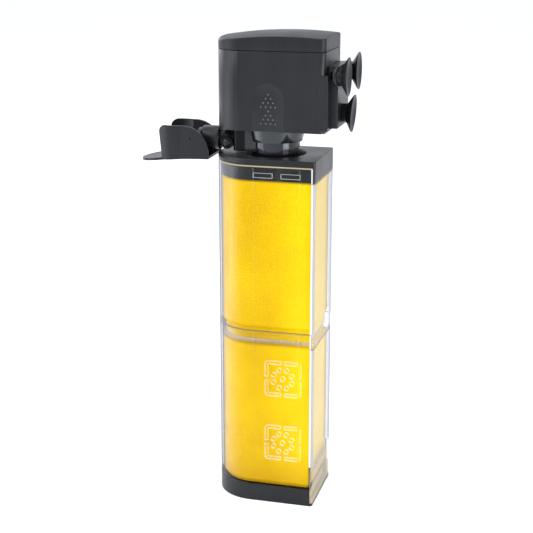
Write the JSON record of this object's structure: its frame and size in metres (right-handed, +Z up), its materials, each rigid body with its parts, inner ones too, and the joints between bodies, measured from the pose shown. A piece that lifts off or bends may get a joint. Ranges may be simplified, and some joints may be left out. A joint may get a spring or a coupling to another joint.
{
  "type": "internal aquarium power filter",
  "caption": "Submersible aquarium filter: a pump head with a turning outlet nozzle on a clear two-stage sponge canister, held to the glass by suction cups.",
  "frame": {"origin": "on the pump's axis, at the underside of the base that the filter stands on", "axes": "+Z up along the pump's axis, -Y towards the outlet nozzle, +Y towards the aquarium glass and the suction cups, +X the side with the air knob"},
  "size_m": [0.07, 0.1763, 0.3869],
  "materials": {
    "black_plastic": "satin moulded, fine grain",
    "clear_plastic": "polished and clear",
    "yellow_foam": "open-cell foam",
    "black_rubber": "matt",
    "cup_rubber": "smooth and soft",
    "white_plastic": "moulded",
    "lamination_steel": "stacked sheets",
    "copper_wire": "enamelled winding wire",
    "potting_resin": "cast",
    "shaft_steel": "ground",
    "ferrite": "sintered"
  },
  "bodies": {
    "base": {"base_tray": "black_plastic"},
    "lower_stage": {"lower_cup": "clear_plastic"},
    "lower_foam": {"lower_sponge": "yellow_foam"},
    "upper_stage": {"upper_cup": "clear_plastic"},
    "upper_foam": {"upper_sponge": "yellow_foam"},
    "lid": {"canister_lid": "black_plastic"},
    "neck_seal": {"neck_o_ring": "black_rubber"},
    "chamber": {"impeller_chamber": "black_plastic", "chamber_seal": "black_rubber", "lower_bush": "white_plastic"},
    "head": {"pump_housing": "black_plastic", "pump_cap": "black_plastic", "cable_gland": "black_rubber", "stator_core": "lamination_steel", "coil_bobbin": "white_plastic", "stator_coil": "copper_wire", "resin_fill": "potting_resin", "upper_bush": "white_plastic", "rotor_shaft": "shaft_steel"},
    "rotor": {"rotor_magnet": "ferrite", "impeller": "white_plastic"},
    "swivel": {"swivel_collar": "black_plastic"},
    "nozzle": {"flow_nozzle": "black_plastic"},
    "knob": {"air_knob": "black_plastic"},
    "bracket": {"cup_bracket": "black_plastic"},
    "left_cup": {"left_suction_cup": "cup_rubber"},
    "right_cup": {"right_suction_cup": "cup_rubber"},
    "bottom_cup": {"lower_suction_cup": "cup_rubber"}
  },
  "joints": [
    {"name": "lower_cup_lift", "type": "slide", "parent": "base", "child": "lower_stage", "axis": [0, 0, 1], "range_m": [0, 0.04]},
    {"name": "upper_cup_lift", "type": "slide", "parent": "lower_stage", "child": "upper_stage", "axis": [0, 0, 1], "range_m": [0, 0.15]},
    {"name": "lower_sponge_lift", "type": "slide", "parent": "lower_stage", "child": "lower_foam", "axis": [0, 0, 1], "range_m": [0, 0.136]},
    {"name": "lid_lift", "type": "slide", "parent": "upper_stage", "child": "lid", "axis": [0, 0, 1], "range_m": [0, 0.15]},
    {"name": "upper_sponge_lift", "type": "slide", "parent": "upper_stage", "child": "upper_foam", "axis": [0, 0, 1], "range_m": [0, 0.136]},
    {"name": "pump_lift", "type": "slide", "parent": "lid", "child": "neck_seal", "axis": [0, 0, 1], "range_m": [0, 0.035]},
    {"name": "pump_turn", "type": "hinge", "parent": "neck_seal", "child": "chamber", "pos_m": [0, 0, 0.283], "axis": [0, 0, 1], "range_deg": [-90, 90]},
    {"name": "head_twist_lock", "type": "hinge", "parent": "chamber", "child": "head", "pos_m": [0, 0, 0.311], "axis": [0, 0, 1], "range_deg": [0, 30]},
    {"name": "rotor_spin", "type": "hinge", "parent": "head", "child": "rotor", "pos_m": [0, 0, 0.32], "axis": [0, 0, 1], "continuous": true},
    {"name": "outlet_turn", "type": "hinge", "parent": "chamber", "child": "swivel", "pos_m": [0, -0.05, 0.2999], "axis": [0, 1, 0], "range_deg": [-90, 90]},
    {"name": "nozzle_pull", "type": "slide", "parent": "swivel", "child": "nozzle", "axis": [0, -1, 0], "range_m": [0, 0.03]},
    {"name": "air_knob_turn", "type": "hinge", "parent": "chamber", "child": "knob", "pos_m": [0.011, -0.0378, 0.2975], "axis": [1, 0, 0], "range_deg": [-135, 135]},
    {"name": "bracket_lift", "type": "slide", "parent": "head", "child": "bracket", "axis": [0, 0, 1], "range_m": [0, 0.05]},
    {"name": "left_cup_pull", "type": "slide", "parent": "bracket", "child": "left_cup", "axis": [0, 1, 0], "range_m": [0, 0.02]},
    {"name": "right_cup_pull", "type": "slide", "parent": "bracket", "child": "right_cup", "axis": [0, 1, 0], "range_m": [0, 0.02]},
    {"name": "bottom_cup_pull", "type": "slide", "parent": "bracket", "child": "bottom_cup", "axis": [0, 1, 0], "range_m": [0, 0.02]}
  ],
  "couplings": [
    {"joint": "lower_sponge_lift", "follows": "upper_cup_lift", "ratio": 0.9},
    {"joint": "upper_sponge_lift", "follows": "lid_lift", "ratio": 0.9}
  ]
}
